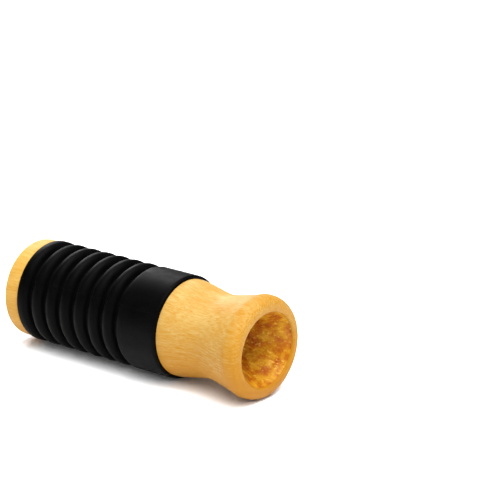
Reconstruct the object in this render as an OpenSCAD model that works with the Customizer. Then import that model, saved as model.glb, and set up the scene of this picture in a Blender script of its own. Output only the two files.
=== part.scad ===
// Bellows duck call: a turned boxwood horn and end plug joined by a ribbed rubber bellows, with a
// reed unit inside. Squeezing the bellows drives air past the reed and out through the horn.
// The call lies on its side: its axis runs along +X, from the end plug to the horn's mouth.
// Places along the axis are stations, in millimetres from the end plug's flat rear face.

/* [Body] */
// Diameter of the ribs and the cuff
body_d = 35.6; // [30:0.1:44]

/* [End plug] */
// Thickness of the end plug's flange
flange_len = 6.6; // [4:0.1:10]
// How far the flange's rim stands in from the body's surface
flange_step = 0.6; // [0.2:0.1:1]
// Rounding of the flange's two edges
flange_edge = 1.6; // [0.5:0.1:2]
// Length of the nose that leads the plug into the bellows
plug_nose = 2.2; // [1:0.1:3]
// Gap between the plug and the rubber that grips it
plug_clear = 0.05; // [0.02:0.01:0.2]

/* [Bellows] */
// Number of whole ribs between the collar and the cuff
rib_count = 6; // [3:1:10]
// Distance from one rib to the next
rib_pitch = 6.5; // [5.2:0.1:8.5]
// Depth of the valleys between the ribs
rib_depth = 2.8; // [2:0.1:3.6]
// Radius at the bottom of each valley
valley_r = 0.85; // [0.5:0.05:1.1]
// Thickness of the rubber
rubber_wall = 1.2; // [1:0.1:1.6]
// Length of the collar over the end plug, up to the middle of the first valley
collar_len = 5.3; // [4.2:0.05:7]
// Length of the smooth cuff over the horn, from the middle of the last valley
cuff_len = 18.6; // [12:0.1:30]
// Rounding of the rubber's two outer edges
rubber_edge = 0.9; // [0.2:0.1:1]
// Depth of the narrow flat along the rubber's underside, which keeps the call from rolling
rest_flat = 0.12; // [0.06:0.01:0.2]

/* [Horn] */
// Length of the horn that stands out of the cuff
horn_out = 34.4; // [26:0.1:50]
// Distance from the cuff's edge to the waist
waist_at = 15.1; // [8:0.1:18]
// How far the waist is turned in from the horn's spigot
waist_depth = 2.1; // [0.5:0.1:4]
// How far the lip's crest stands in from the rubber's surface
lip_step = 0.2; // [0.2:0.1:1]
// Distance from the lip's crest to the mouth's face
lip_len = 5; // [2:0.1:6]
// Width of the lip, from its crest in to the mouth's edge
lip_width = 5; // [3.5:0.1:7]
// Rounding of the mouth's edge
mouth_edge = 0.9; // [0.2:0.1:1.2]
// Depth of the cup, from the mouth's edge to the throat
cup_depth = 17; // [8:0.5:17]
// Diameter of the throat at the bottom of the cup
throat_d = 9.5; // [6:0.5:10]
// Length of the throat, down to the shoulder that stops the tone board
throat_len = 2.2; // [1:0.1:6]
// Diameter of the chamber round the reed
chamber_d = 21; // [18:0.5:22]

/* [Reed unit] */
// Diameter of the bore that holds the tone board
bore_d = 12; // [10:0.1:14.5]
// Gap between the tone board and its bore
board_clear = 0.05; // [0.02:0.01:0.1]
// Length of the tone board's round seat
seat_len = 15; // [10:0.5:18]
// Length of the tone board's flat deck, under the wedge and the reed
deck_len = 26; // [20:0.5:30]
// Height of the deck above the call's axis
deck_rise = 1; // [0.5:0.1:1.5]
// Angle at which the deck falls away from the reed
deck_fall = 2.5; // [1:0.1:4]
// Diameter of the sound channel drilled through the tone board
channel_d = 5; // [3:0.1:5.5]
// Distance from the tone board's tip to the end of the channel
channel_stop = 2; // [1:0.1:4]
// Width of the reed
reed_w = 9; // [7:0.1:9.5]
// Thickness of the reed
reed_t = 0.35; // [0.2:0.05:0.6]
// Distance from the tone board's tip to the reed's tip
reed_setback = 1; // [0.5:0.1:3]
// Radius of the reed's rounded tip
reed_tip_r = 5; // [4.8:0.1:8]
// Length of the cork wedge that clamps the reed
wedge_len = 6.9; // [5:0.1:9]
// Width of the cork wedge
wedge_w = 8.6; // [6:0.1:9]
// Gap at the back of the reed and the wedge
clamp_clear = 0.2; // [0.1:0.05:0.5]
// Length of the band round the wedge
band_len = 4.2; // [3:0.1:6]
// Thickness of the band
band_wall = 0.8; // [0.5:0.1:1.2]
// Thickness of each seal ring
seal_section = 1.1; // [0.8:0.1:1.4]
// Distance from each end of the seat to its seal ring
seal_inset = 3.6; // [2:0.1:5]

/* [Hidden] */
$fn = 96;

arc_steps = 4;          // straight steps in each rounded stretch of an outline
sweep_steps = 16;       // straight steps in each long curve of the horn
lip_fullness = 2.7;     // 2 is an ellipse, and more is squarer
flare_power = 1.35;     // 1 is a straight flare, and more keeps it near the waist for longer
cup_power = 0.9;        // 1 is a straight cone, and less makes a rounder bowl
spigot_chamfer = 0.6;
cut = 30;               // longer than any tool cut needs to reach

body_r = body_d / 2;
spigot_r = body_r - rubber_wall;

// A rib's crest arc and a valley's arc touch where these two radii add up to arc_sum.
half_pitch = rib_pitch / 2;
arc_sum = (half_pitch * half_pitch + rib_depth * rib_depth) / (2 * rib_depth);
crest_r = arc_sum - valley_r;
crest_axis_r = body_r - crest_r;
valley_axis_r = body_r - rib_depth + valley_r;
flank = atan2(arc_sum - rib_depth, half_pitch);

// Stations along the axis
bellows_at = flange_len;
first_valley = bellows_at + collar_len;
last_valley = first_valley + rib_count * rib_pitch;
cuff_end = last_valley + cuff_len;
horn_rear = last_valley + half_pitch;
call_len = cuff_end + horn_out;
waist = cuff_end + waist_at;
lip_crest = call_len - lip_len;
mouth = call_len - mouth_edge;
cup_floor = mouth - cup_depth;
seat_end = cup_floor - throat_len;
seat_start = seat_end - seat_len;
chamber_end = seat_start - spigot_chamfer;
board_tip = seat_start - deck_len;
reed_root = seat_start - clamp_clear;
reed_edge = reed_root - wedge_len;

board_r = bore_d / 2 - board_clear;
groove_r = bore_d / 2 - seal_section;

// An arc round [x, y], from angle a to angle b, that reaches r along the axis and h away from it
function oval_arc(x, y, r, h, a, b) =
    [for (i = [0 : arc_steps]) let (t = a + (b - a) * i / arc_steps)
        [x + r * cos(t), y + h * sin(t)]];
function arc(x, y, r, a, b) = oval_arc(x, y, r, r, a, b);

// From one height to another with level ends, as a fraction t of the way
function ease(t) = t * t * (3 - 2 * t);

// Stretches of the rubber's surface from one valley to the crest on either side. inset is 0 on
// the outside and the rubber's wall on the inside.
function rise_to(x, inset) =
    concat(arc(x - half_pitch, valley_axis_r, valley_r + inset, 270, 360 - flank - 0.01),
        arc(x, crest_axis_r, crest_r - inset, 180 - flank, 90));
function fall_from(x, inset) =
    concat(arc(x, crest_axis_r, crest_r - inset, 90, flank),
        arc(x + half_pitch, valley_axis_r, valley_r + inset, 180 + flank, 270));

// The whole wave of the ribs on one side of the rubber, from the collar to the cuff
function wave(inset) = [
    each fall_from(first_valley - half_pitch, inset),
    for (i = [0 : rib_count - 1]) let (x = first_valley + half_pitch + i * rib_pitch)
        each concat(rise_to(x, inset), fall_from(x, inset)),
    each rise_to(last_valley + half_pitch, inset)
];

function backwards(points) = [for (i = [len(points) - 1 : -1 : 0]) points[i]];

// A solid turned about the call's axis from an outline of [station, radius] points
module turned(outline) {
    rotate([0, 90, 0])
        rotate_extrude()
            polygon([for (p = outline) [p.y, p.x]]);
}

// A round cut or rod along the axis between two stations
module along(from, to, r) {
    translate([from, 0, 0])
        rotate([0, 90, 0])
            cylinder(h = to - from, r = r);
}

// Puts the call on its side, on the rubber's flat, with its middle over the origin
module lying() {
    translate([-call_len / 2, 0, body_r - rest_flat])
        children();
}

module horn() {
    lip_r = body_r - lip_step;
    mouth_r = lip_r - lip_width;
    waist_r = spigot_r - waist_depth;
    neck = [for (i = [0 : sweep_steps]) let (t = i / sweep_steps)
        [cuff_end + waist_at * t, spigot_r - waist_depth * ease(t)]];
    flare = [for (i = [1 : sweep_steps - 1]) let (t = i / sweep_steps)
        [waist + (lip_crest - waist) * t,
         waist_r + (lip_r - waist_r) * pow(t, flare_power)]];
    lip = [for (i = [0 : sweep_steps - 1]) let (a = 90 * i / sweep_steps)
        [lip_crest + lip_len * pow(sin(a), 2 / lip_fullness),
         mouth_r + mouth_edge + (lip_width - mouth_edge) * pow(cos(a), 2 / lip_fullness)]];
    edge = arc(mouth, mouth_r + mouth_edge, mouth_edge, 0, -90);
    cup = [for (i = [1 : sweep_steps]) let (t = 1 - i / sweep_steps)
        [cup_floor + cup_depth * t,
         throat_d / 2 + (mouth_r - throat_d / 2) * pow(t, cup_power)]];
    color("burlywood")
        turned(concat(
            [[horn_rear, spigot_r - spigot_chamfer], [horn_rear + spigot_chamfer, spigot_r]],
            neck, flare, lip, edge, cup,
            [[seat_end, throat_d / 2], [seat_end, bore_d / 2], [chamber_end, bore_d / 2],
             [chamber_end, chamber_d / 2], [horn_rear, chamber_d / 2]]));
}

module bellows() {
    bore = concat([[bellows_at, spigot_r]], wave(rubber_wall), [[cuff_end, spigot_r]]);
    outside = concat(
        arc(bellows_at + rubber_edge, body_r - rubber_edge, rubber_edge, 180, 90),
        wave(0),
        arc(cuff_end - rubber_edge, body_r - rubber_edge, rubber_edge, 90, 0));
    color([0.09, 0.09, 0.1])
        difference() {
            turned(concat(outside, backwards(bore)));
            translate([0, -cut / 2, -body_r - 1])
                cube([call_len, cut, 1 + rest_flat]);
        }
}

module end_plug() {
    flange_r = body_r - flange_step;
    grip_r = spigot_r - plug_clear;
    groove = body_r - rib_depth - rubber_wall - plug_clear * 2;
    head_r = crest_axis_r + (crest_r - rubber_wall) * sin(45);
    head_half = (crest_r - rubber_wall) * cos(45) - plug_clear;
    head_at = first_valley + half_pitch;
    groove_start = first_valley - half_pitch + (crest_r - rubber_wall);
    color("burlywood")
        turned(concat(
            [[0, 0]],
            arc(flange_edge, flange_r - flange_edge, flange_edge, 180, 90),
            oval_arc(flange_len - flange_edge, grip_r, flange_edge, flange_r - grip_r, 90, 0),
            [[first_valley - half_pitch, grip_r], [groove_start, groove],
             [head_at - head_half, groove], [head_at - head_half, head_r],
             [head_at + head_half, head_r], [head_at + head_half, groove],
             [head_at + head_half + plug_nose, groove - plug_nose / 2],
             [head_at + head_half + plug_nose, 0]]));
}

module tone_board() {
    color("saddlebrown")
        difference() {
            along(board_tip, seat_end, board_r);
            along(board_tip + channel_stop, seat_end + 1, channel_d / 2);
            // The deck under the wedge
            translate([board_tip - 1, -cut / 2, deck_rise])
                cube([seat_start - board_tip + 1, cut, cut]);
            // The deck that falls away under the reed
            translate([reed_edge, 0, deck_rise])
                rotate([0, -deck_fall, 0])
                    translate([-cut, -cut / 2, 0])
                        cube([cut, cut, cut / 2]);
            for (x = [seat_start + seal_inset, seat_end - seal_inset])
                seal_groove(x);
        }
}

module seal_groove(x) {
    groove_half = seal_section * 0.6;
    turned([[x - groove_half, groove_r], [x + groove_half, groove_r],
        [x + groove_half, body_r], [x - groove_half, body_r]]);
}

module reed() {
    tip = board_tip + reed_setback;
    color("gold")
        translate([0, 0, deck_rise])
            linear_extrude(height = reed_t)
                intersection() {
                    translate([tip, -reed_w / 2])
                        square([reed_root - tip, reed_w]);
                    union() {
                        translate([tip + reed_tip_r, 0])
                            circle(r = reed_tip_r);
                        translate([tip + reed_tip_r, -reed_w])
                            square([reed_root - tip, reed_w * 2]);
                    }
                }
}

module reed_wedge() {
    foot = deck_rise + reed_t;
    lead_in = 35;       // slope of the wedge's thin end, in degrees
    color("peru")
        difference() {
            intersection() {
                along(reed_edge, reed_root, board_r);
                translate([reed_edge - 1, -wedge_w / 2, foot])
                    cube([wedge_len + 2, wedge_w, cut]);
            }
            translate([reed_edge, 0, foot + 1])
                rotate([0, -lead_in, 0])
                    translate([-cut, -cut / 2, 0])
                        cube([cut * 2, cut, cut]);
        }
}

module clamp_band() {
    middle = (reed_edge + reed_root) / 2 + clamp_clear;
    color("darkgoldenrod")
        turned([[middle - band_len / 2, board_r], [middle + band_len / 2, board_r],
            [middle + band_len / 2, board_r + band_wall],
            [middle - band_len / 2, board_r + band_wall]]);
}

module seal_ring(x) {
    color("dimgray")
        translate([x, 0, 0])
            rotate([0, 90, 0])
                rotate_extrude()
                    translate([groove_r + seal_section / 2, 0])
                        circle(r = seal_section / 2, $fn = 32);
}

lying() horn();
lying() bellows();
lying() end_plug();
lying() tone_board();
lying() reed();
lying() reed_wedge();
lying() clamp_band();
lying() seal_ring(seat_end - seal_inset);  // seal_ring_front
lying() seal_ring(seat_start + seal_inset);  // seal_ring_rear
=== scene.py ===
"""Looks of a bellows duck call: turned boxwood, moulded rubber and the reed unit inside.

The call lies along +X, with its mouth at +X. Sizes are in metres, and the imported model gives
the places of the pieces. Each piece is a surface turned about the call's axis, worked out as
whole arrays, and each finish is a procedural material on Object coordinates.
"""

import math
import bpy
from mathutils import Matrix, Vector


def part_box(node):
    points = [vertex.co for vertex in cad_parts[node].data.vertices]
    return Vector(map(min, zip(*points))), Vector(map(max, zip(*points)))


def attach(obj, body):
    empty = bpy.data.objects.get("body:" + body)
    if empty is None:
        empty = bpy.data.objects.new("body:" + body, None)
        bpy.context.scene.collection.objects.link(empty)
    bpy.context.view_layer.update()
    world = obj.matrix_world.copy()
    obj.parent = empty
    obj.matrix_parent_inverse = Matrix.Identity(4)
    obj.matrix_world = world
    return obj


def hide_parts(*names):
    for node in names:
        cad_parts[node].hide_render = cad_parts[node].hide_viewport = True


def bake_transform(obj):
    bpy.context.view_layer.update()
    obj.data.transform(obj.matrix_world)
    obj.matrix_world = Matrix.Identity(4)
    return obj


bl_info = {
    "name": "Bellows duck call",
    "version": (1, 0, 0),
    "blender": (4, 5, 0),
    "location": "View3D > Sidebar > Duck call",
    "description": "Builds the horn, bellows, end plug and reed unit of a duck call, and a plain studio",
    "category": "Object",
}

import bpy
import numpy as np
from mathutils import Matrix, Vector

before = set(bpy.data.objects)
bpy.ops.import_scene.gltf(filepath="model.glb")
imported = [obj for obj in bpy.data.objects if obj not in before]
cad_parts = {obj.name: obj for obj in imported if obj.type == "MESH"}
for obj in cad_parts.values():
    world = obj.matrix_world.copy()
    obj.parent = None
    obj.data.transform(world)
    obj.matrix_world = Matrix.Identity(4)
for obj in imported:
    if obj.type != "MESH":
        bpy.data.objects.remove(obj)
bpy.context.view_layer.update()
MM = 0.001

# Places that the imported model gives
HORN_LO, HORN_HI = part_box("horn")
RUBBER_LO, RUBBER_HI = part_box("bellows")
PLUG_LO, PLUG_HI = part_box("end_plug")
REED_LO, REED_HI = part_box("reed")
AXIS_Z = (HORN_LO.z + HORN_HI.z) / 2
BODY_R = RUBBER_HI.z - AXIS_Z
REED_TIP_R = 5 * MM
# A point this near to a radius counts as on it
ON_RADIUS = 1e-6

# Places round each turned piece
HORN_TURNS, RUBBER_TURNS, PLUG_TURNS = 288, 192, 224
# Random patterns on a turned piece: cells round it, cells along it, and the seed
TORN_COARSE, TORN_FINE, TORN_PITS = (40, 14, 11), (96, 30, 12), (58, 19, 13)
SKIN_SWELL = (7, 16, 21)

# The studio, in metres and degrees. A light has its direction from the call's middle, its
# distance and its size.
LIGHTS = {
    "key_light": ((-0.72, 0.52, 0.46), 0.8, 0.36),
    "top_light": ((0.15, 0.05, 1.0), 0.9, 0.8),
    "front_light": ((0.45, -0.38, 0.82), 0.9, 0.7),
}
FLOOR_HALF, FLOOR_TILES = 2.5, 40
CAMERA_AT, CAMERA_LOOK = (0.49204, -0.55423, 0.29025), (-0.59885, 0.73608, -0.31554)
CAMERA_ROLL = -0.853


def linear(colour):
    """The linear RGBA of an sRGB hex colour: below 0.04045 a twelfth, and above it a 2.4 power."""
    parts = [int(colour[i:i + 2], 16) / 255 for i in (0, 2, 4)]
    return (*[c / 12.92 if c <= 0.04045 else ((c + 0.055) / 1.055) ** 2.4 for c in parts], 1.0)


def colour_prop(name, description, colour):
    """A colour that the user may change, given as sRGB hex."""
    return bpy.props.FloatVectorProperty(
        name=name, description=description, subtype="COLOR", size=4, min=0, max=1,
        default=linear(colour))


def size_prop(name, description, millimetres):
    """A length that the user may change, given in millimetres."""
    return bpy.props.FloatProperty(
        name=name, description=description, subtype="DISTANCE", unit="LENGTH", min=0,
        precision=5, default=millimetres * MM)


class HornSettings(bpy.types.PropertyGroup):
    """Sizes and colours of the turned horn."""
    waist_at: size_prop("Waist", "Distance from the cuff to the waist", 15.1)
    waist_depth: size_prop("Waist depth", "How far the waist is turned in", 2.1)
    rubber_wall: size_prop("Rubber wall", "Thickness of the cuff round the horn", 1.2)
    lip_len: size_prop("Lip length", "From the lip's crest to the mouth's face", 5)
    lip_width: size_prop("Lip width", "From the lip's crest in to the mouth's edge", 5)
    mouth_edge: size_prop("Mouth edge", "Rounding of the mouth's edge", 0.9)
    cup_depth: size_prop("Cup depth", "From the mouth's edge to the throat", 17)
    oval: size_prop("Oval mouth", "How much wider than high the mouth's edge is, each side", 0.9)
    drop: size_prop("Mouth drop", "How far the hand-cut mouth sits below the axis", 0.3)
    throat_r: size_prop("Throat radius", "Radius at the bottom of the cup", 4.75)
    bore_r: size_prop("Bore radius", "Radius of the bore that holds the reed unit", 6)
    chamber_r: size_prop("Chamber radius", "Radius of the chamber round the reed", 10.5)
    seat_len: size_prop("Seat length", "Length of the bore", 15)
    throat_len: size_prop("Throat length", "From the cup to the bore's shoulder", 2.2)
    tear: size_prop("Torn grain", "Depth of the torn grain in the cup", 0.16)
    pale: colour_prop("Pale wood", "The wood between its growth rings", "A68B50")
    deep: colour_prop("Deep wood", "The wood's growth rings and fibres", "98680F")
    cup_pale: colour_prop("Cup, pale", "Cut fibres in the cup", "AC7A10")
    cup_deep: colour_prop("Cup, deep", "Torn and stained grain in the cup", "883E02")


class PlugSettings(bpy.types.PropertyGroup):
    """Sizes and colours of the turned end plug."""
    edge: size_prop("Edge", "Rounding of the flange", 1.6)
    clear: size_prop("Clearance", "Gap between the plug and the rubber", 0.05)
    taper: size_prop("Lead-in", "How far the plug's tip tapers in", 1.1)
    marks: size_prop("Tool marks", "Height of the turning rings on the rear face", 0.012)
    pale: colour_prop("Pale wood", "The wood between its growth rings", "B2904A")
    deep: colour_prop("Deep wood", "The wood's growth rings and fibres", "A07422")


class RubberSettings(bpy.types.PropertyGroup):
    """Sizes and colours of the rubber bellows."""
    ribs: bpy.props.IntProperty(
        name="Ribs", description="Whole ribs between the collar and the cuff", min=1, default=6)
    pitch: size_prop("Rib pitch", "Distance from one rib to the next", 6.5)
    depth: size_prop("Rib depth", "Depth of the valleys", 2.8)
    valley_r: size_prop("Valley radius", "Radius at the bottom of each valley", 0.85)
    wall: size_prop("Wall", "Thickness of the rubber", 1.2)
    collar_len: size_prop("Collar", "From the rubber's rear edge to the first valley", 5.3)
    edge: size_prop("Edge", "Rounding of the rubber's two outer edges", 0.9)
    roll_off: size_prop("Roll-off", "Length over which the cuff rolls down to the horn", 1.3)
    seam: size_prop("Parting line", "Height of the mould's parting line", 0.07)
    seam_angle: bpy.props.FloatProperty(
        name="Parting angle", description="How far the parting line stands above the side",
        subtype="ANGLE", default=math.radians(31))
    black: colour_prop("Rubber", "The rubber's own colour", "030303")
    bloom: colour_prop("Bloom", "The dull film that handling leaves on the rubber", "050505")


class StudioSettings(bpy.types.PropertyGroup):
    """Light, floor and camera."""
    floor: colour_prop("Floor", "The paper that the call lies on", "F8F8F8")
    key_power: bpy.props.FloatProperty(
        name="Key light", description="Power of the soft light behind the call's rear end",
        subtype="POWER", min=0, default=4)
    top_power: bpy.props.FloatProperty(
        name="Top light", description="Power of the soft light overhead", subtype="POWER",
        min=0, default=13.8)
    front_power: bpy.props.FloatProperty(
        name="Front light", description="Power of the soft light on the viewer's side",
        subtype="POWER", min=0, default=9)
    sky: bpy.props.FloatProperty(
        name="Sky", description="Strength of the even light from all round", subtype="UNSIGNED",
        min=0, default=0.62)
    lens: bpy.props.FloatProperty(
        name="Lens", description="Focal length", unit="CAMERA", min=10, default=173.09)


# ---------------------------------------------------------------------------------------------
# Meshes


def arc(x, r, size_x, size_r, start, end, steps):
    """Points [x + size_x cos t, r + size_r sin t] for t from start to end, in degrees."""
    t = np.radians(np.linspace(start, end, steps + 1))
    return np.stack([x + size_x * np.cos(t), r + size_r * np.sin(t)], 1)


def line(*points, step=0.0012):
    """A broken line with a point at least every step."""
    out = [np.array(points[:1], float)]
    for a, b in zip(points[:-1], points[1:]):
        n = max(1, int(math.ceil(math.dist(a, b) / step)))
        out.append(np.linspace(a, b, n + 1)[1:])
    return np.concatenate(out)


def joined(*stretches):
    """Outline stretches end to end, without the points that repeat."""
    points = np.concatenate(stretches)
    keep = np.r_[True, np.linalg.norm(np.diff(points, axis=0), axis=1) > 1e-7]
    return points[keep]


def lumps(u, v, cells_u, cells_v, seed):
    """Smooth random heights from -1 to 1, which repeat as u goes from 0 to 1.

    A table of random numbers is read between its corners, with smoothstep weights on each axis.
    """
    table = np.random.default_rng(seed).uniform(-1, 1, (cells_v + 2, cells_u))
    x, y = np.mod(u, 1) * cells_u, np.clip(v, 0, 1) * cells_v
    i, j = np.floor(x).astype(int) % cells_u, np.floor(y).astype(int)
    a, b = x - np.floor(x), y - np.floor(y)
    a, b = a * a * (3 - 2 * a), b * b * (3 - 2 * b)
    k = (i + 1) % cells_u
    low = table[j, i] * (1 - a) + table[j, k] * a
    high = table[j + 1, i] * (1 - a) + table[j + 1, k] * a
    return low * (1 - b) + high * b


def turned(name, outline, angles, closed=True, grow=None, spread=None, parts=None):
    """A piece turned about the call's axis from an outline of [x, radius] points.

    Point (i, j) of the grid is [x_i, R cos a_j, AXIS_Z + R sin a_j], where R is the outline's
    radius, spread(x, r, angle) adds to it, and grow(x, r, angle) adds along the outline's
    normal. A closed outline goes round the wall's section. An open one starts and ends on the
    axis, at two poles. parts says which material each stretch of the outline takes.
    """
    rows, turns = len(outline), len(angles)
    if closed:
        along = np.roll(outline, -1, 0) - np.roll(outline, 1, 0)
    else:
        along = np.gradient(outline, axis=0)
    along /= np.maximum(np.linalg.norm(along, axis=1, keepdims=True), 1e-12)
    normal = np.stack([-along[:, 1], along[:, 0]], 1)
    x = np.repeat(outline[:, :1], turns, 1)
    r = np.repeat(outline[:, 1:], turns, 1)
    wider = 0 if spread is None else spread(x, r, angles[None, :])
    height = np.zeros_like(x) if grow is None else grow(x, r, angles[None, :])
    x, r = x + height * normal[:, :1], r + height * normal[:, 1:] + wider
    points = np.stack([x, r * np.cos(angles), AXIS_Z + r * np.sin(angles)], 2).reshape(-1, 3)
    i, j = np.meshgrid(np.arange(rows if closed else rows - 1), np.arange(turns), indexing="ij")
    i2, j2 = (i + 1) % rows, (j + 1) % turns
    quads = np.stack([i * turns + j, i * turns + j2, i2 * turns + j2, i2 * turns + j], 2)
    used = np.zeros(len(i), int) if parts is None else parts[:len(i)]
    material = np.repeat(used, turns)
    quads = quads.reshape(-1, 4)
    triangles = np.zeros((0, 3), int)
    if not closed:
        # Each end ring closes on a pole
        quads, material = quads[turns:-turns], material[turns:-turns]
        poles = len(points) + np.arange(2)
        ends = np.array([[outline[0, 0], 0, AXIS_Z], [outline[-1, 0], 0, AXIS_Z]])
        points = np.concatenate([points, ends])
        k = np.arange(turns)
        first = np.stack([np.full(turns, poles[0]), turns + (k + 1) % turns, turns + k], 1)
        last = (rows - 2) * turns
        second = np.stack([np.full(turns, poles[1]), last + k, last + (k + 1) % turns], 1)
        triangles = np.concatenate([first, second])
    return mesh_object(name, points, quads, triangles, material)


def mesh_object(name, points, quads, triangles, material):
    """A smooth mesh whose faces point outwards, from numpy arrays.

    The sum of a . (b x c) over its triangles is six times its volume. If that is negative the
    surface is inside out, and every face is turned round.
    """
    corners = np.concatenate([quads[:, [0, 1, 2]], quads[:, [0, 2, 3]], triangles])
    a, b, c = (points[corners[:, k]] for k in range(3))
    if np.einsum("ij,ij->i", a, np.cross(b, c)).sum() < 0:
        quads, triangles = quads[:, ::-1], triangles[:, ::-1]
    used, renumbered = np.unique(np.concatenate([quads.ravel(), triangles.ravel()]),
                                 return_inverse=True)
    loops = renumbered.ravel()
    sizes = np.concatenate([np.full(len(quads), 4), np.full(len(triangles), 3)])
    mesh = bpy.data.meshes.new(name)
    mesh.vertices.add(len(used))
    mesh.vertices.foreach_set("co", points[used].astype(np.float32).ravel())
    mesh.loops.add(len(loops))
    mesh.loops.foreach_set("vertex_index", loops.astype(np.int32))
    mesh.polygons.add(len(sizes))
    mesh.polygons.foreach_set("loop_start", np.r_[0, np.cumsum(sizes)[:-1]].astype(np.int32))
    material = np.r_[material, np.zeros(len(triangles), int)].astype(np.int32)
    mesh.polygons.foreach_set("material_index", material)
    mesh.polygons.foreach_set("use_smooth", np.ones(len(sizes), bool))
    mesh.update(calc_edges=True)
    mesh.validate()
    made = bpy.data.objects.new(name, mesh)
    bpy.context.scene.collection.objects.link(made)
    return made


def even_turn(turns):
    """Angles evenly spaced round one turn."""
    return np.arange(turns) * 2 * math.pi / turns


# ---------------------------------------------------------------------------------------------
# Materials


def add(tree, kind, inputs=(), ramp=None, **settings):
    """Adds a shader node.

    inputs maps a socket to a value or to the output that feeds it. ramp lists a colour ramp's
    places, each with a colour or a grey level. settings are the node's own.
    """
    made = tree.nodes.new("ShaderNode" + kind)
    for name, value in settings.items():
        setattr(made, name, value)
    for key, value in dict(inputs).items():
        if isinstance(value, bpy.types.NodeSocket):
            tree.links.new(value, made.inputs[key])
        else:
            made.inputs[key].default_value = value
    if ramp:
        stops = made.color_ramp.elements
        while len(stops) < len(ramp):
            stops.new(0.5)
        for stop, (place, value) in zip(stops, ramp):
            stop.position = place
            stop.color = (value, value, value, 1) if isinstance(value, float) else tuple(value)
    return made


def new_material(name):
    """A material with an empty tree, its principled shader and its object coordinates."""
    material = bpy.data.materials.new(name)
    material.use_nodes = True
    tree = material.node_tree
    tree.nodes.clear()
    shader = add(tree, "BsdfPrincipled")
    add(tree, "OutputMaterial", {"Surface": shader.outputs[0]})
    place = add(tree, "TexCoord").outputs["Object"]
    return material, tree, shader, place


def set_shader(shader, **values):
    """Constants for the shader's own sockets, with _ for each space in a socket's name."""
    for name, value in values.items():
        shader.inputs[name.replace("_", " ")].default_value = value


def grain(tree, place, along, across, seed, detail=3.0, roughness=0.6):
    """Noise drawn out along the call: features along by across, in millimetres."""
    stretched = add(tree, "Mapping", {
        "Vector": place, "Location": (seed, seed, seed),
        "Scale": (1 / (along * MM), 1 / (across * MM), 1 / (across * MM))})
    return add(tree, "TexNoise", {
        "Vector": stretched.outputs[0], "Scale": 1.0, "Detail": detail,
        "Roughness": roughness}).outputs[0]


def lacquered_boxwood(name, pale, deep):
    """Turned boxwood under clear lacquer.

    Pale gold and close-grained, with faint growth rings that a curved surface cuts into wavy
    lines, fine fibres and short dark pores. The lacquer gives it a soft, broad gloss. The tone is
    a weighted sum of the rings, the fibres and longer streaks. It is deeper on the lip's end grain,
    and deeper towards the bottom as painted shade, and a ramp turns it to a colour.
    """
    material, tree, shader, place = new_material(name)
    ring_gap, ring_share, fibre_share, streak_share = 0.9 * MM, 0.06, 0.58, 0.32
    # Growth rings are cylinders round the tree's heart, well outside the piece. The wave texture
    # has a ring at every 2 pi / 20 of its own coordinates.
    heart = add(tree, "Mapping", {
        "Vector": place, "Location": (0, 0.034, -0.052), "Rotation": (0, 0.05, 0.07),
        "Scale": (0.12, 1, 1)})
    rings = add(tree, "TexWave", {
        "Vector": heart.outputs[0], "Scale": 2 * math.pi / (20 * ring_gap), "Distortion": 5.0,
        "Detail": 2.0, "Detail Scale": 0.8}, wave_type="RINGS", rings_direction="X",
        wave_profile="SIN").outputs[0]
    # Real fibres are 0.02 mm wide and pores 0.05 mm: these are as wide as they need to be to show
    fibres = grain(tree, place, along=5, across=0.5, seed=3.1, detail=2, roughness=0.75)
    streaks = grain(tree, place, along=22, across=1.7, seed=7.7, detail=2)
    patches = grain(tree, place, along=14, across=9, seed=1.3, detail=1)
    gaps = grain(tree, place, along=3.2, across=0.38, seed=5.3, detail=1)
    pores = add(tree, "ValToRGB", {0: gaps}, ramp=[(0.60, 0.0), (0.72, 1.0)]).outputs[0]
    tone = add(tree, "Math", {0: rings, 1: ring_share}, operation="MULTIPLY").outputs[0]
    for part, share in ((fibres, fibre_share), (streaks, streak_share)):
        tone = add(tree, "Math", {0: part, 1: share, 2: tone},
                   operation="MULTIPLY_ADD").outputs[0]
    # The finish sinks deeper into the end grain from the lip's crest on, and the wood is darkened
    # towards the bottom as painted shade
    forward, _, upward = add(tree, "SeparateXYZ", {0: place}).outputs
    lip = add(tree, "MapRange", {
        "Value": forward, "From Min": HORN_HI.x - 7.35 * MM, "From Max": HORN_HI.x - 4.55 * MM,
        "To Max": 0.12}).outputs[0]
    # Painted shade: the tone deepens from a little above the axis down to the bottom
    painted_shade_below = add(tree, "MapRange", {
        "Value": upward, "From Min": AXIS_Z + 6.32 * MM, "From Max": AXIS_Z - 11.68 * MM,
        "To Max": 0.29}).outputs[0]
    tone = add(tree, "Math", {0: tone, 1: lip}, operation="ADD").outputs[0]
    tone = add(tree, "Math", {0: tone, 1: painted_shade_below}, operation="ADD").outputs[0]
    shade = add(tree, "ValToRGB", {0: tone}, ramp=[
        (0.35, pale), (0.71, deep), (0.98, linear("945E04"))]).outputs[0]
    warm = add(tree, "ValToRGB", {0: patches}, ramp=[(0.40, 0.0), (0.70, 0.45)]).outputs[0]
    shade = add(tree, "Mix", {0: warm, 6: shade, 7: deep}, data_type="RGBA").outputs[2]
    dark = add(tree, "Math", {0: pores, 1: 0.42}, operation="MULTIPLY").outputs[0]
    shade = add(tree, "Mix", {0: dark, 6: shade, 7: linear("9A6424")}, data_type="RGBA").outputs[2]
    tree.links.new(shade, shader.inputs["Base Color"])
    gloss = add(tree, "MapRange", {"Value": fibres, "From Min": 0.3, "From Max": 0.7,
                                   "To Min": 0.5, "To Max": 0.62}).outputs[0]
    tree.links.new(gloss, shader.inputs["Roughness"])
    relief = add(tree, "Bump", {"Height": fibres, "Strength": 0.25, "Distance": 0.06 * MM})
    tree.links.new(relief.outputs[0], shader.inputs["Normal"])
    set_shader(shader, IOR=1.5, Specular_IOR_Level=0.15, Coat_Weight=0.03, Coat_Roughness=0.4)
    return material


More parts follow.
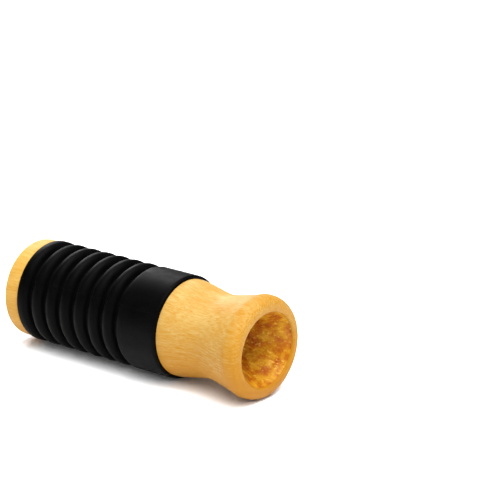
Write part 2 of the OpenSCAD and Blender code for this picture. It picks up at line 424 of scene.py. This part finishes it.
def torn_boxwood(pale, deep):
    """The rough-bored cup: end grain torn by the tool and darkened by the finish.

    Amber, mottled with dark brown where fibres broke out, with small bright specks painted in
    as glints on raised grain. The spots are about 4 mm across at most, and the bundles of fibres 0.8 mm
    wide.
    """
    material, tree, shader, place = new_material("boxwood_torn_in_cup")
    spots = grain(tree, place, along=4.0, across=3.4, seed=2.4, detail=5)
    fibres = grain(tree, place, along=2.4, across=0.8, seed=8.2)
    shade = add(tree, "ValToRGB", {0: spots}, ramp=[
        (0.34, deep), (0.47, linear("9C5C04")), (0.60, pale), (0.76, linear("BE8A26"))]).outputs[0]
    # Painted glints: small bright specks mixed into the cup's colour where the fibre pattern is high
    painted_glint = add(tree, "ValToRGB", {0: fibres}, ramp=[(0.58, 0.0), (0.68, 0.6)]).outputs[0]
    shade = add(tree, "Mix", {0: painted_glint, 6: shade, 7: linear("D2A648")}, data_type="RGBA").outputs[2]
    pit = add(tree, "ValToRGB", {0: fibres}, ramp=[(0.33, 0.55), (0.43, 0.0)]).outputs[0]
    shade = add(tree, "Mix", {0: pit, 6: shade, 7: deep}, data_type="RGBA").outputs[2]
    tree.links.new(shade, shader.inputs["Base Color"])
    relief = add(tree, "Bump", {"Height": fibres, "Strength": 0.8, "Distance": 0.35 * MM})
    tree.links.new(relief.outputs[0], shader.inputs["Normal"])
    set_shader(shader, IOR=1.5, Specular_IOR_Level=0.2, Roughness=0.42, Coat_Weight=0.04,
               Coat_Roughness=0.15)
    return material


def moulded_rubber(black, bloom):
    """Carbon-black natural rubber from a two-part mould.

    Near black and satin, with the mould's fine grain and a thin dull bloom in soft patches.
    """
    material, tree, shader, place = new_material("rubber_moulded_black")
    patches = grain(tree, place, along=7, across=5, seed=4.4)
    # A moulded skin's own grain is about 0.05 mm: this is as coarse as it needs to be to show
    skin = grain(tree, place, along=0.5, across=0.5, seed=6.1, detail=2)
    film = add(tree, "ValToRGB", {0: patches}, ramp=[(0.35, 0.0), (0.75, 0.7)]).outputs[0]
    shade = add(tree, "Mix", {0: film, 6: black, 7: bloom}, data_type="RGBA").outputs[2]
    tree.links.new(shade, shader.inputs["Base Color"])
    gloss = add(tree, "MapRange", {"Value": patches, "From Min": 0.3, "From Max": 0.7,
                                   "To Min": 0.42, "To Max": 0.56}).outputs[0]
    tree.links.new(gloss, shader.inputs["Roughness"])
    relief = add(tree, "Bump", {"Height": skin, "Strength": 0.3, "Distance": 0.05 * MM})
    tree.links.new(relief.outputs[0], shader.inputs["Normal"])
    set_shader(shader, IOR=1.5, Specular_IOR_Level=0.03)
    return material


def oiled_walnut():
    """Walnut, sanded and oiled: dark brown, open-grained, low gloss, with pores 0.3 mm wide."""
    material, tree, shader, place = new_material("walnut_oiled")
    tone = grain(tree, place, along=12, across=0.8, seed=1.9)
    gaps = grain(tree, place, along=3, across=0.3, seed=9.4)
    pores = add(tree, "ValToRGB", {0: gaps}, ramp=[(0.58, 0.0), (0.68, 0.8)]).outputs[0]
    shade = add(tree, "ValToRGB", {0: tone}, ramp=[
        (0.35, linear("8A5E38")), (0.65, linear("54341C"))]).outputs[0]
    shade = add(tree, "Mix", {0: pores, 6: shade, 7: linear("2C1A0E")}, data_type="RGBA").outputs[2]
    tree.links.new(shade, shader.inputs["Base Color"])
    relief = add(tree, "Bump", {"Height": tone, "Strength": 0.3, "Distance": 0.06 * MM})
    tree.links.new(relief.outputs[0], shader.inputs["Normal"])
    set_shader(shader, IOR=1.48, Roughness=0.5)
    return material


def rolled_brass():
    """Rolled brass strip: warm yellow metal with fine rolling lines along it."""
    material, tree, shader, place = new_material("brass_rolled")
    lines = grain(tree, place, along=8, across=0.12, seed=2.2)
    shade = add(tree, "ValToRGB", {0: lines}, ramp=[
        (0.35, linear("D9B25C")), (0.65, linear("B98C3C"))]).outputs[0]
    tree.links.new(shade, shader.inputs["Base Color"])
    gloss = add(tree, "MapRange", {"Value": lines, "To Min": 0.22, "To Max": 0.4}).outputs[0]
    tree.links.new(gloss, shader.inputs["Roughness"])
    set_shader(shader, Metallic=1.0)
    return material


def cut_cork():
    """Cut cork: light tan clumps of cells about 1 mm across, with dark fissures between them."""
    material, tree, shader, place = new_material("cork_cut")
    cell = 1.1 * MM
    cells = add(tree, "TexVoronoi", {"Vector": place, "Scale": 1 / cell},
                feature="DISTANCE_TO_EDGE").outputs["Distance"]
    shade = add(tree, "ValToRGB", {0: cells}, ramp=[
        (0.03, linear("6B4526")), (0.16, linear("C79A66"))]).outputs[0]
    tree.links.new(shade, shader.inputs["Base Color"])
    relief = add(tree, "Bump", {"Height": cells, "Strength": 0.5, "Distance": 0.1 * MM})
    tree.links.new(relief.outputs[0], shader.inputs["Normal"])
    set_shader(shader, IOR=1.45, Roughness=0.85)
    return material


def seal_rubber():
    """Nitrile seal rubber: smooth, black, a little glossier than the bellows."""
    material, tree, shader, place = new_material("rubber_nitrile_seal")
    haze = grain(tree, place, along=1.5, across=1.5, seed=3.3)
    shade = add(tree, "ValToRGB", {0: haze}, ramp=[
        (0.4, linear("1A1A1B")), (0.7, linear("262628"))]).outputs[0]
    tree.links.new(shade, shader.inputs["Base Color"])
    set_shader(shader, IOR=1.5, Roughness=0.35)
    return material


def studio_paper(colour):
    """Seamless paper: matt and almost white, with a tooth that shows only as slight unevenness."""
    material, tree, shader, place = new_material("paper_seamless")
    tooth = grain(tree, place, along=60, across=60, seed=0.7, detail=2)
    shade = add(tree, "ValToRGB", {0: tooth}, ramp=[
        (0.3, colour), (0.7, linear("FBFBFB"))]).outputs[0]
    tree.links.new(shade, shader.inputs["Base Color"])
    set_shader(shader, Roughness=0.9, Specular_IOR_Level=0.1)
    return material


def dress(piece, *materials):
    """The piece's materials, in place of any that it came with."""
    if piece.data.materials:
        piece.data.materials.clear()
    for material in materials:
        piece.data.materials.append(material)


# ---------------------------------------------------------------------------------------------
# Operators


class DUCKCALL_OT_horn(bpy.types.Operator):
    """Turn the horn: a spigot, a waist, a flared lip and a torn cup"""
    bl_idname = "duckcall.horn"
    bl_label = "Horn"

    def execute(self, context):
        s = context.scene.duckcall_horn
        cuff, front, rear = RUBBER_HI.x, HORN_HI.x, HORN_LO.x
        lip_r = (HORN_HI.y - HORN_LO.y) / 2
        spigot_r = BODY_R - s.rubber_wall
        mouth_r = lip_r - s.lip_width
        waist, crest = cuff + s.waist_at, front - s.lip_len
        mouth = front - s.mouth_edge
        floor = mouth - s.cup_depth
        seat_end = floor - s.throat_len
        seat_start = seat_end - s.seat_len
        chamfer, shoulder_step = 0.6 * MM, 2 * MM
        waist_r = spigot_r - s.waist_depth
        flare_power, lip_power, cup_power = 1.35, 2.7, 0.9

        # With t from 0 to 1, the neck narrows by t^2 (3 - 2t) and the flare widens by t^1.35. The
        # lip is a quarter of a superellipse of power 2.7. The cup is nearly a cone, as t^0.9.
        t = np.linspace(0, 1, 37)
        neck = np.stack([cuff + s.waist_at * t, spigot_r - s.waist_depth * t * t * (3 - 2 * t)], 1)
        flare = np.stack([waist + (crest - waist) * t,
                          waist_r + (lip_r - waist_r) * t ** flare_power], 1)[1:-1]
        a = np.linspace(0, math.pi / 2, 33)
        power = 2 / lip_power
        lip = np.stack([crest + s.lip_len * np.sin(a) ** power,
                        mouth_r + s.mouth_edge
                        + (s.lip_width - s.mouth_edge) * np.clip(np.cos(a), 0, 1) ** power], 1)
        edge = arc(mouth, mouth_r + s.mouth_edge, s.mouth_edge, s.mouth_edge, 0, -90, 8)
        t = np.linspace(1, 0, 72)
        cup = np.stack([floor + s.cup_depth * t,
                        s.throat_r + (mouth_r - s.throat_r) * t ** cup_power], 1)
        outside = [line((rear, spigot_r - chamfer), (rear + chamfer, spigot_r), (cuff, spigot_r),
                        step=shoulder_step), neck, flare, lip, edge]
        inside = line((floor, s.throat_r), (seat_end, s.throat_r), (seat_end, s.bore_r),
                      (seat_start - chamfer, s.bore_r), (seat_start - chamfer, s.chamber_r),
                      (rear, s.chamber_r), (rear, spigot_r - chamfer), step=shoulder_step)[:-1]
        outline = joined(*outside, cup, inside)
        # The first material is the lacquered wood, and the second the torn cup
        parts = ((outline[:, 0] > floor - 0.2 * MM)
                 & (outline[:, 1] < mouth_r + ON_RADIUS)).astype(int)

        def torn(x, r, angle):
            """Coarse and fine lumps, pits where a third pattern passes a limit, and lathe rings.

            v goes from 0 at the throat to 1 at the mouth. The tear fades to nothing over the last
            ninth of the cup, and to 0.3 of its depth at the throat.
            """
            u = angle / (2 * math.pi) + x * 0
            v = (x - floor) / s.cup_depth
            inside_cup = (v > -0.01) & (r <= mouth_r + ON_RADIUS)
            fade = np.clip(np.minimum((1 - v) * 9, v * 12 + 0.3), 0, 1) * inside_cup
            rough = 0.55 * lumps(u, v, *TORN_COARSE) + 0.45 * lumps(u, v, *TORN_FINE)
            pit_limit, pit_depth, ring_gap, ring_depth = 0.45, 2.2, 0.75 * MM, 0.18
            pits = -np.clip(lumps(u, v, *TORN_PITS) - pit_limit, 0, 1) * pit_depth
            rings = ring_depth * np.sin(x / ring_gap * 2 * math.pi)
            return -s.tear * fade * (rough * 0.5 + pits + rings * 0.5)

        def oval(x, r, angle):
            """The hand-cut mouth is wider than high, by a squared cosine, and sits a little low.

            It lies lower by the drop, and to -Y by a third of that, so its radius loses
            drop (sin a + cos a / 3). Both fade to nothing at the lip's crest and at the throat.
            """
            fade = np.clip((lip_r - r) / (lip_r - mouth_r - s.mouth_edge), 0, 1)
            fade = fade * np.clip((x - floor) / s.cup_depth, 0, 1) * (x > floor)
            in_mouth = (x > crest) | (r <= mouth_r + ON_RADIUS) & (x > floor)
            wider = s.oval * np.cos(angle) ** 2 - s.drop * (np.sin(angle) + np.cos(angle) / 3)
            return wider * fade * in_mouth

        horn = turned("horn_turned", outline, even_turn(HORN_TURNS), grow=torn, spread=oval,
                      parts=parts)
        dress(horn, lacquered_boxwood("boxwood_lacquered", s.pale, s.deep),
              torn_boxwood(s.cup_pale, s.cup_deep))
        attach(horn, "horn_body")
        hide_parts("horn")
        return {"FINISHED"}


def rib_wave(s, inset, steps):
    """The ribs' outline from the collar to the cuff: arcs at each crest and valley that touch.

    The two radii add up to (p^2 + d^2) / 2d for half a pitch p and a depth d. inset is 0 on the
    outside and the wall's thickness inside.
    """
    p, d = s.pitch / 2, s.depth
    total = (p * p + d * d) / (2 * d)
    crest_r = total - s.valley_r
    crest_at, valley_at = BODY_R - crest_r, BODY_R - d + s.valley_r
    flank = math.degrees(math.atan2(total - d, p))
    first = RUBBER_LO.x + s.collar_len
    big, small = crest_r - inset, s.valley_r + inset
    out = []
    for i in range(s.ribs + 1):
        valley = first + i * s.pitch
        out.append(arc(valley - p, crest_at, big, big, 90, flank, steps))
        out.append(arc(valley, valley_at, small, small, 180 + flank, 360 - flank, steps))
        out.append(arc(valley + p, crest_at, big, big, 180 - flank, 90, steps))
    return joined(*out)


class DUCKCALL_OT_bellows(bpy.types.Operator):
    """Mould the rubber bellows: a collar, six ribs, a smooth cuff and the mould's parting line"""
    bl_idname = "duckcall.bellows"
    bl_label = "Bellows"

    def execute(self, context):
        s = context.scene.duckcall_rubber
        rear, front = RUBBER_LO.x, RUBBER_HI.x
        inner_r = BODY_R - s.wall
        last_crest = rear + s.collar_len + (s.ribs + 0.5) * s.pitch
        outside = joined(
            arc(rear + s.edge, BODY_R - s.edge, s.edge, s.edge, 180, 90, 6),
            rib_wave(s, 0, 9),
            line((last_crest, BODY_R), (front - s.roll_off, BODY_R), step=2.4 * MM),
            arc(front - s.roll_off, BODY_R - s.edge, s.roll_off, s.edge, 90, 0, 10))
        inside = joined(
            line((front, inner_r), (last_crest, inner_r), step=4 * MM),
            rib_wave(s, s.wall, 4)[::-1],
            line((rear, inner_r), (rear, BODY_R - s.edge), step=1 * MM)[:-1])
        outline = joined(outside, inside)
        # Extra angles either side of each parting line carry its narrow ridge
        fine = np.array([-0.5, -0.25, -0.12, 0.12, 0.25, 0.5]) * MM / BODY_R
        angles = np.concatenate([even_turn(RUBBER_TURNS), *[c + fine for c in seams(s)]])
        angles = np.unique(np.round(np.mod(angles, 2 * math.pi), 7))

        def skin(x, r, angle):
            """The parting line is a ridge exp(-(d / 0.2 mm)^2), where d is the way round from it.

            The skin also sinks by up to twice the swell, in soft random patches.
            """
            ridge_half, swell_height, below_valleys = 0.2 * MM, 0.03 * MM, 0.3 * MM
            outer = r > BODY_R - s.depth - below_valleys
            # The outside comes first in the outline, and the inner wall after it stays smooth
            outer = outer & (np.arange(len(x))[:, None] < len(outside))
            ridge = 0
            for centre in seams(s):
                away = np.abs(np.mod(angle - centre + math.pi, 2 * math.pi) - math.pi) * BODY_R
                ridge = ridge + np.exp(-(away / ridge_half) ** 2)
            u = angle / (2 * math.pi) + x * 0
            v = (x - rear) / (front - rear)
            swell = swell_height * lumps(u, v, *SKIN_SWELL)
            return np.where(outer, s.seam * ridge + swell - swell_height, 0)

        rubber = turned("bellows_moulded", outline, angles, grow=skin)
        flatten(rubber)
        dress(rubber, moulded_rubber(s.black, s.bloom))
        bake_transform(rubber)
        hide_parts("bellows")
        return {"FINISHED"}


def seams(s):
    """The two angles, about the axis, at which the mould's halves meet."""
    return (math.pi - s.seam_angle, -s.seam_angle)


def flatten(piece):
    """Points below the surface that the call lies on rise to it, which makes the narrow flat."""
    mesh = piece.data
    points = np.empty(len(mesh.vertices) * 3, np.float32)
    mesh.vertices.foreach_get("co", points)
    points = points.reshape(-1, 3)
    points[:, 2] = np.maximum(points[:, 2], 0)
    mesh.vertices.foreach_set("co", points.ravel())
    mesh.update()


class DUCKCALL_OT_end_plug(bpy.types.Operator):
    """Turn the wooden end plug: a rounded flange, a spigot and a head that snaps into a rib"""
    bl_idname = "duckcall.end_plug"
    bl_label = "End plug"

    def execute(self, context):
        s = context.scene.duckcall_rubber
        plug_s = context.scene.duckcall_plug
        clear, edge = plug_s.clear, plug_s.edge
        rear, shoulder, tip = PLUG_LO.x, RUBBER_LO.x, PLUG_HI.x
        flange_r = (PLUG_HI.y - PLUG_LO.y) / 2
        grip_r = BODY_R - s.wall - clear
        groove_r = BODY_R - s.depth - s.wall - 2 * clear
        p = s.pitch / 2
        crest_r = (p * p + s.depth ** 2) / (2 * s.depth) - s.valley_r
        # The head's corners meet the first rib's inner arc at 45 degrees
        reach = (crest_r - s.wall) * math.cos(math.pi / 4)
        head_r, head_half = BODY_R - crest_r + reach, reach - clear
        first = shoulder + s.collar_len
        ring_gap, face_step = 0.9 * MM, 0.9 * MM
        outline = joined(
            line((rear, 0), (rear, flange_r - edge), step=face_step),
            arc(rear + edge, flange_r - edge, edge, edge, 180, 90, 10),
            line((rear + edge, flange_r), (shoulder - edge, flange_r), step=face_step),
            arc(shoulder - edge, grip_r, edge, flange_r - grip_r, 90, 0, 10),
            line((shoulder, grip_r), (first - p, grip_r), (first - p + crest_r - s.wall, groove_r),
                 (first + p - head_half, groove_r), (first + p - head_half, head_r),
                 (first + p + head_half, head_r), (first + p + head_half, groove_r),
                 (tip, groove_r - plug_s.taper), (tip, 0), step=1.5 * MM))

        def tool_marks(x, r, angle):
            """Faint turning rings on the rear face, a sine of the radius."""
            on_face = (x < rear + 0.01 * MM) & (r < flange_r - edge)
            return plug_s.marks * np.sin(r / ring_gap * 2 * math.pi) * on_face + angle * 0

        plug = turned("end_plug_turned", outline, even_turn(PLUG_TURNS), closed=False,
                      grow=tool_marks)
        dress(plug, lacquered_boxwood("boxwood_lacquered_plug", plug_s.pale, plug_s.deep))
        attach(plug, "plug_end")
        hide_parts("end_plug")
        return {"FINISHED"}


class DUCKCALL_OT_reed_unit(bpy.types.Operator):
    """Cut the reed, and give the tone board, wedge, band and seal rings their finishes"""
    bl_idname = "duckcall.reed_unit"
    bl_label = "Reed unit"

    def execute(self, context):
        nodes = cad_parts
        brass, seal = rolled_brass(), seal_rubber()
        dress(nodes["tone_board"], oiled_walnut())
        dress(nodes["reed_wedge"], cut_cork())
        dress(nodes["clamp_band"], brass)
        dress(nodes["seal_ring_front"], seal)
        dress(nodes["seal_ring_rear"], seal)
        reed = reed_strip()
        dress(reed, brass)
        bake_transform(reed)
        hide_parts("reed")
        return {"FINISHED"}


def reed_strip():
    """The brass reed: a flat strip with a round tip, as a grid of stations by places across.

    At a distance d from the tip the half width is that of the tip's circle, sqrt(d(2R - d)),
    up to half the strip's width.
    """
    length, width = REED_HI.x - REED_LO.x, REED_HI.y - REED_LO.y
    thick, least_half = REED_HI.z - REED_LO.z, 0.06 * MM
    stations, places = 90, 13
    # The stations crowd towards the tip
    d = length * np.linspace(0, 1, stations) ** 1.6
    half = np.sqrt(np.clip(d * (2 * REED_TIP_R - d), 0, None))
    half = np.where(d >= REED_TIP_R, width / 2, np.minimum(half, width / 2))
    half = np.maximum(half, least_half)
    t = np.linspace(-1, 1, places)
    top = np.stack([t, np.ones(places)], 1)
    loop = np.concatenate([top, top[::-1] * [1, -1]])
    across = loop[None, :, 0] * half[:, None]
    up = np.broadcast_to(loop[None, :, 1] * thick / 2, across.shape)
    along = np.broadcast_to((REED_LO.x + d)[:, None], across.shape)
    points = np.stack([along, across, up + (REED_LO.z + REED_HI.z) / 2], 2).reshape(-1, 3)
    rows, turns = len(d), len(loop)
    i, j = np.meshgrid(np.arange(rows - 1), np.arange(turns), indexing="ij")
    quads = np.stack([i * turns + j, i * turns + (j + 1) % turns,
                      (i + 1) * turns + (j + 1) % turns, (i + 1) * turns + j], 2).reshape(-1, 4)
    # Each end is closed by quads from the top edge to the bottom edge
    k = np.arange(places - 1)
    for end, turn in ((0, 1), ((rows - 1) * turns, -1)):
        below = end + turns - 1 - k
        cap = np.stack([end + k, below, below - 1, end + k + 1], 1)[:, ::turn]
        quads = np.concatenate([quads, cap])
    reed = mesh_object("reed_strip", points, quads, np.zeros((0, 3), int),
                       np.zeros(len(quads), int))
    reed.data.polygons.foreach_set("use_smooth", np.zeros(len(reed.data.polygons), bool))
    return reed


class DUCKCALL_OT_stage(bpy.types.Operator):
    """Lay the pale floor, hang the soft lights and set the camera"""
    bl_idname = "duckcall.stage"
    bl_label = "Stage"

    def execute(self, context):
        s = context.scene.duckcall_studio
        scene = context.scene
        row = FLOOR_TILES + 1
        steps = np.linspace(-FLOOR_HALF, FLOOR_HALF, row)
        x, y = np.meshgrid(steps, steps, indexing="ij")
        points = np.stack([x, y, x * 0], 2).reshape(-1, 3)
        i, j = np.meshgrid(np.arange(FLOOR_TILES), np.arange(FLOOR_TILES), indexing="ij")
        k = (i * row + j).ravel()
        tiles = np.stack([k, k + row, k + row + 1, k + 1], 1)
        mesh = bpy.data.meshes.new("floor_paper")
        mesh.from_pydata(points.tolist(), [], tiles.tolist())
        floor = bpy.data.objects.new("floor_paper", mesh)
        scene.collection.objects.link(floor)
        dress(floor, studio_paper(s.floor))

        world = bpy.data.worlds.new("even_sky")
        world.use_nodes = True
        sky = world.node_tree.nodes["Background"]
        sky.inputs["Color"].default_value = (1, 1, 1, 1)
        sky.inputs["Strength"].default_value = s.sky
        scene.world = world
        # Neither the sky nor the front light shows as a reflection
        world.cycles_visibility.glossy = False
        for name, power in zip(LIGHTS, (s.key_power, s.top_power, s.front_power)):
            light = soft_light(scene, name, *LIGHTS[name], power)
            light.visible_glossy = name != "front_light"

        data = bpy.data.cameras.new("camera")
        data.lens, data.sensor_width = s.lens, 36
        data.clip_start, data.clip_end = 0.05, 20
        camera = bpy.data.objects.new("camera", data)
        scene.collection.objects.link(camera)
        look = Vector(CAMERA_LOOK).normalized()
        roll = math.radians(CAMERA_ROLL)
        side = look.cross(Vector((0, 0, 1))).normalized()
        up = side.cross(look)
        side, up = (side * math.cos(roll) + up * math.sin(roll),
                    up * math.cos(roll) - side * math.sin(roll))
        turn = Matrix((side, up, -look)).transposed().to_4x4()
        camera.matrix_world = Matrix.Translation(CAMERA_AT) @ turn
        scene.camera = camera
        scene.view_settings.view_transform = "Standard"
        return {"FINISHED"}


def soft_light(scene, name, direction, distance, size, power):
    """A square area light at a distance from the call's middle along direction, facing it."""
    data = bpy.data.lights.new(name, "AREA")
    data.shape, data.size, data.energy = "SQUARE", size, power
    light = bpy.data.objects.new(name, data)
    scene.collection.objects.link(light)
    away = Vector(direction).normalized()
    light.location = Vector((0, 0, AXIS_Z)) + away * distance
    light.rotation_mode = "QUATERNION"
    light.rotation_quaternion = away.to_track_quat("Z", "Y")
    return light


class DUCKCALL_PT_panel(bpy.types.Panel):
    """The duck call's operators and settings"""
    bl_label = "Duck call"
    bl_idname = "DUCKCALL_PT_panel"
    bl_space_type = "VIEW_3D"
    bl_region_type = "UI"
    bl_category = "Duck call"

    def draw(self, context):
        for operator in OPERATORS:
            self.layout.operator(operator.bl_idname)
        for name, group in GROUPS.items():
            box = self.layout.box()
            settings = getattr(context.scene, name)
            for prop in group.__annotations__:
                box.prop(settings, prop)


GROUPS = {"duckcall_horn": HornSettings, "duckcall_plug": PlugSettings,
          "duckcall_rubber": RubberSettings, "duckcall_studio": StudioSettings}
OPERATORS = (DUCKCALL_OT_horn, DUCKCALL_OT_bellows, DUCKCALL_OT_end_plug,
             DUCKCALL_OT_reed_unit, DUCKCALL_OT_stage)


def register():
    for cls in (*GROUPS.values(), *OPERATORS, DUCKCALL_PT_panel):
        bpy.utils.register_class(cls)
    for name, group in GROUPS.items():
        setattr(bpy.types.Scene, name, bpy.props.PointerProperty(type=group))


def unregister():
    for name in GROUPS:
        delattr(bpy.types.Scene, name)
    for cls in reversed((*GROUPS.values(), *OPERATORS, DUCKCALL_PT_panel)):
        bpy.utils.unregister_class(cls)


def main():
    """Builds every piece and the stage in order."""
    register()
    bpy.ops.duckcall.horn()
    bpy.ops.duckcall.bellows()
    bpy.ops.duckcall.end_plug()
    bpy.ops.duckcall.reed_unit()
    bpy.ops.duckcall.stage()


if __name__ == "__main__":
    main()
